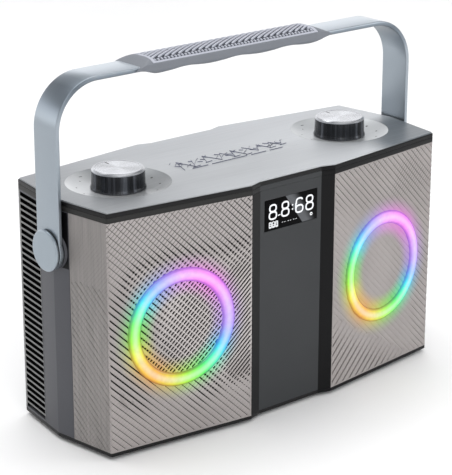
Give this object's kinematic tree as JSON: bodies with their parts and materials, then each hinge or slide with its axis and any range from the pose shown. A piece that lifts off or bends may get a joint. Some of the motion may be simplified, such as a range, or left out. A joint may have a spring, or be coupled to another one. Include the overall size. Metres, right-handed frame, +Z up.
{
  "type": "portable karaoke speaker",
  "caption": "Portable karaoke speaker with toed mesh speaker blocks, glowing ring lights, recessed display column, top dial knobs and a swinging flat strap handle.",
  "frame": {"origin": "on the floor under the middle of the cabinet, at the feet's undersides", "axes": "+X to the right seen from the front, -Y to the front, +Z up"},
  "size_m": [0.3534, 0.138, 0.2781],
  "materials": {
    "base_black": "fine moulded texture",
    "foot_rubber": "matt",
    "frame_grey": "fine moulded texture",
    "shell_grey": "fine moulded texture",
    "screen_black": "woven",
    "panel_dark": "satin",
    "board_green": "solder mask",
    "socket_steel": "plain",
    "socket_black": "satin",
    "button_black": "satin",
    "baffle_black": "matt",
    "column_grey": "satin",
    "lens_black": "polished",
    "grille_mesh": "woven mesh",
    "ring_diffuser": "lit from behind",
    "lamp_board": "white solder mask",
    "basket_steel": "satin",
    "cone_dark": "matt",
    "surround_rubber": "matt",
    "magnet_dark": "plain",
    "trim_black": "satin",
    "plate_silver": "satin",
    "relief_grey": "satin",
    "sink_aluminium": "plain",
    "battery_wrap": "shrink wrap",
    "pot_steel": "plain",
    "knob_dark": "metallic",
    "knob_silver": "spun",
    "shaft_steel": "plain",
    "strap_metal": "satin",
    "grip_grey": "soft touch",
    "pad_rubber": "ribbed",
    "cap_metal": "satin",
    "washer_nylon": "plain",
    "screw_steel": "plain"
  },
  "bodies": {
    "cabinet": {"base_plate": "base_black", "feet": "foot_rubber", "left_side_frame": "frame_grey", "right_side_frame": "frame_grey", "back_cover": "shell_grey", "vent_screens": "screen_black", "port_panel": "panel_dark", "port_board": "board_green", "media_sockets": "socket_steel", "audio_jacks": "socket_black", "dc_inlet": "socket_black", "rocker_housing": "socket_black", "tact_switches": "socket_black", "front_baffle": "baffle_black", "centre_column": "column_grey", "display_lens": "lens_black", "display_board": "board_green", "left_grille": "grille_mesh", "right_grille": "grille_mesh", "left_ring_light": "ring_diffuser", "right_ring_light": "ring_diffuser", "lamp_boards": "lamp_board", "left_centre_grille": "grille_mesh", "right_centre_grille": "grille_mesh", "left_basket": "basket_steel", "right_basket": "basket_steel", "left_cone": "cone_dark", "right_cone": "cone_dark", "left_surround": "surround_rubber", "right_surround": "surround_rubber", "driver_magnets": "magnet_dark", "top_trim": "trim_black", "top_cover": "trim_black", "top_plate": "plate_silver", "relief_band": "relief_grey", "main_board": "board_green", "heat_sink": "sink_aluminium", "battery_pack": "battery_wrap", "potentiometers": "pot_steel", "pivot_bolts": "screw_steel", "pivot_washers": "washer_nylon", "base_screws": "screw_steel", "driver_screws": "screw_steel", "panel_screws": "screw_steel"},
    "handle": {"handle_strap": "strap_metal", "grip_lower": "grip_grey", "grip_upper": "grip_grey", "grip_pad": "pad_rubber", "grip_screws": "screw_steel", "pivot_caps": "cap_metal"},
    "left_knob": {"left_knob_skirt": "knob_dark", "left_knob_cap": "knob_silver", "left_knob_shaft": "shaft_steel"},
    "right_knob": {"right_knob_skirt": "knob_dark", "right_knob_cap": "knob_silver", "right_knob_shaft": "shaft_steel"},
    "rocker": {"power_rocker": "button_black"},
    "previous_key": {"previous_button": "button_black"},
    "play_key": {"play_button": "button_black"},
    "next_key": {"next_button": "button_black"}
  },
  "joints": [
    {"name": "handle_swing", "type": "hinge", "parent": "cabinet", "child": "handle", "pos_m": [0, 0, 0.1495], "axis": [1, 0, 0], "range_deg": [-135, 135]},
    {"name": "left_knob_turn", "type": "hinge", "parent": "cabinet", "child": "left_knob", "pos_m": [-0.11, 0, 0.19], "axis": [0, 0, 1], "range_deg": [-150, 150]},
    {"name": "right_knob_turn", "type": "hinge", "parent": "cabinet", "child": "right_knob", "pos_m": [0.11, 0, 0.19], "axis": [0, 0, 1], "range_deg": [-150, 150]},
    {"name": "rocker_flip", "type": "hinge", "parent": "cabinet", "child": "rocker", "pos_m": [0, 0.0626, 0.147], "axis": [1, 0, 0], "range_deg": [-16, 0]},
    {"name": "previous_press", "type": "slide", "parent": "cabinet", "child": "previous_key", "axis": [0, -1, 0], "range_m": [0, 0.0008], "stiffness_N_per_m": 1500, "springref_m": -0.0007},
    {"name": "play_press", "type": "slide", "parent": "cabinet", "child": "play_key", "axis": [0, -1, 0], "range_m": [0, 0.0008], "stiffness_N_per_m": 1500, "springref_m": -0.0007},
    {"name": "next_press", "type": "slide", "parent": "cabinet", "child": "next_key", "axis": [0, -1, 0], "range_m": [0, 0.0008], "stiffness_N_per_m": 1500, "springref_m": -0.0007}
  ]
}
